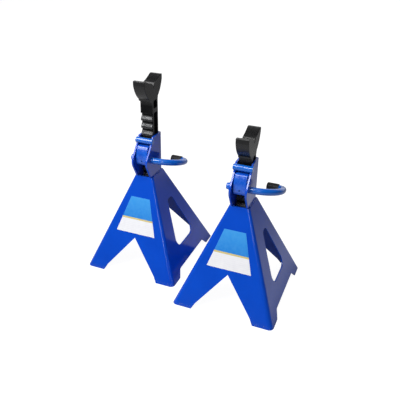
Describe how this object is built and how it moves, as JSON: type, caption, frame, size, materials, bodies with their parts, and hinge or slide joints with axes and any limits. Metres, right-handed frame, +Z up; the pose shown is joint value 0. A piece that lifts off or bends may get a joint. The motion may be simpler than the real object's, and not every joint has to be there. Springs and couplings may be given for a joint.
{
  "type": "axle jack stands",
  "caption": "Ratchet axle jack stands: folded-sheet pyramid bases, toothed cast columns with two-horn saddles, and pawls on bent rod handles.",
  "frame": {"origin": "on the floor, midway between the two stands, at the bottom middle of the whole box", "axes": "+X along the pawl rods towards the handles, +Y from the labelled fronts to the rears, +Z up"},
  "size_m": [0.503, 0.32, 0.4706],
  "materials": {
    "blue_paint": "glossy blue enamel",
    "black_casting": "black paint on a sand casting, worn on the teeth",
    "black_grip": "matt black soft vinyl",
    "label": "plain printed film in three bands, without text",
    "pin_steel": "plain steel"
  },
  "bodies": {
    "bases": {"raised_base_shell": "blue_paint", "raised_rear_seam_weld": "blue_paint", "raised_front_label": "label", "raised_neck_channel": "blue_paint", "raised_neck_welds": "blue_paint", "raised_neck_front_bar": "blue_paint", "raised_column_guide_plate": "blue_paint", "lowered_base_shell": "blue_paint", "lowered_rear_seam_weld": "blue_paint", "lowered_front_label": "label", "lowered_neck_channel": "blue_paint", "lowered_neck_welds": "blue_paint", "lowered_neck_front_bar": "blue_paint", "lowered_column_guide_plate": "blue_paint"},
    "raised_column": {"raised_column": "black_casting", "raised_column_stop_pin": "pin_steel"},
    "raised_lever": {"raised_pawl": "blue_paint", "raised_pawl_roll_pin": "pin_steel", "raised_handle_rod": "blue_paint", "raised_handle_grip": "black_grip", "raised_handle_end_collar": "blue_paint"},
    "lowered_column": {"lowered_column": "black_casting", "lowered_column_stop_pin": "pin_steel"},
    "lowered_lever": {"lowered_pawl": "blue_paint", "lowered_pawl_roll_pin": "pin_steel", "lowered_handle_rod": "blue_paint", "lowered_handle_grip": "black_grip", "lowered_handle_end_collar": "blue_paint"}
  },
  "joints": [
    {"name": "raised_column_slide", "type": "slide", "parent": "bases", "child": "raised_column", "axis": [0, 0, 1], "range_m": [-0.0736, 0.1104]},
    {"name": "raised_lever_pivot", "type": "hinge", "parent": "bases", "child": "raised_lever", "pos_m": [-0.131, -0.006, 0.279], "axis": [1, 0, 0], "range_deg": [-8.5, 35]},
    {"name": "lowered_column_slide", "type": "slide", "parent": "bases", "child": "lowered_column", "axis": [0, 0, 1], "range_m": [0, 0.184]},
    {"name": "lowered_lever_pivot", "type": "hinge", "parent": "bases", "child": "lowered_lever", "pos_m": [0.131, -0.06, 0.279], "axis": [1, 0, 0], "range_deg": [-8.5, 35]}
  ]
}
